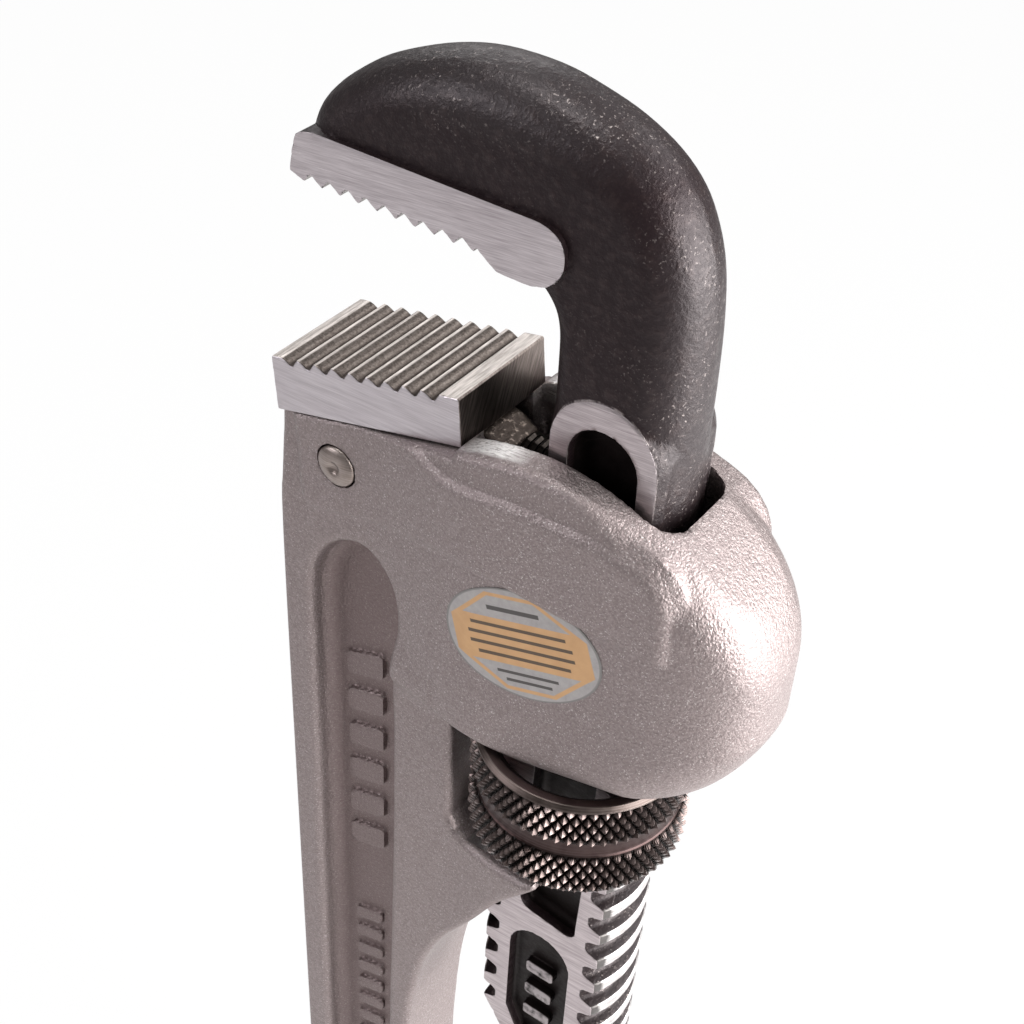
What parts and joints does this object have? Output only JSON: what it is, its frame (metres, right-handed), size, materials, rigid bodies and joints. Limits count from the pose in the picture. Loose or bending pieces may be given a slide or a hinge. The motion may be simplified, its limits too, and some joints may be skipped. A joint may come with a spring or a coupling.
{
  "type": "pipe wrench",
  "caption": "Straight pipe wrench with an I-beam handle, a pinned toothed heel jaw, and a toothed hook jaw set by a knurled nut on its threaded shank.",
  "frame": {"origin": "centre of a pipe gripped between the two toothed jaws at the stored opening", "axes": "+Z along the handle towards the head, +X towards the back of the hook jaw, -X out of the mouth, Y across the thickness"},
  "size_m": [0.081, 0.034, 0.3718],
  "materials": {
    "cast_aluminium": "shot-blasted casting, fine sand grain",
    "heel_jaw_steel": "ground sides, machined grooves",
    "pin_steel": "peened ends",
    "forged_black": "black forging skin with bare ground flats",
    "nut_steel": "browned, diamond knurl",
    "spring_steel": "drawn wire",
    "leaf_steel": "blued strip",
    "rivet_steel": "plain",
    "label_film": "satin film"
  },
  "bodies": {
    "frame": {"handle_housing": "cast_aluminium", "heel_jaw": "heel_jaw_steel", "heel_jaw_pin": "pin_steel", "coil_spring": "spring_steel", "spring_rivet": "rivet_steel", "label": "label_film"},
    "guide": {"flat_spring": "leaf_steel"},
    "jaw": {"hook_jaw": "forged_black"},
    "nut": {"nut": "nut_steel"}
  },
  "joints": [
    {"name": "jaw_rock", "type": "hinge", "parent": "frame", "child": "guide", "pos_m": [0.0333, 0, -0.066], "axis": [0, 1, 0], "range_deg": [-1, 1.5], "stiffness_Nm_per_rad": 60, "deforming": ["coil_spring", "flat_spring"]},
    {"name": "jaw_slide", "type": "slide", "parent": "guide", "child": "jaw", "axis": [0, 0, 1], "range_m": [-0.019, 0.036]},
    {"name": "nut_spin", "type": "hinge", "parent": "guide", "child": "nut", "pos_m": [0.0333, 0, -0.0753], "axis": [0, 0, 1], "range_deg": [-2042, 1080]}
  ],
  "couplings": [
    {"joint": "nut_spin", "follows": "jaw_slide", "rad_per_m": -989.48}
  ]
}
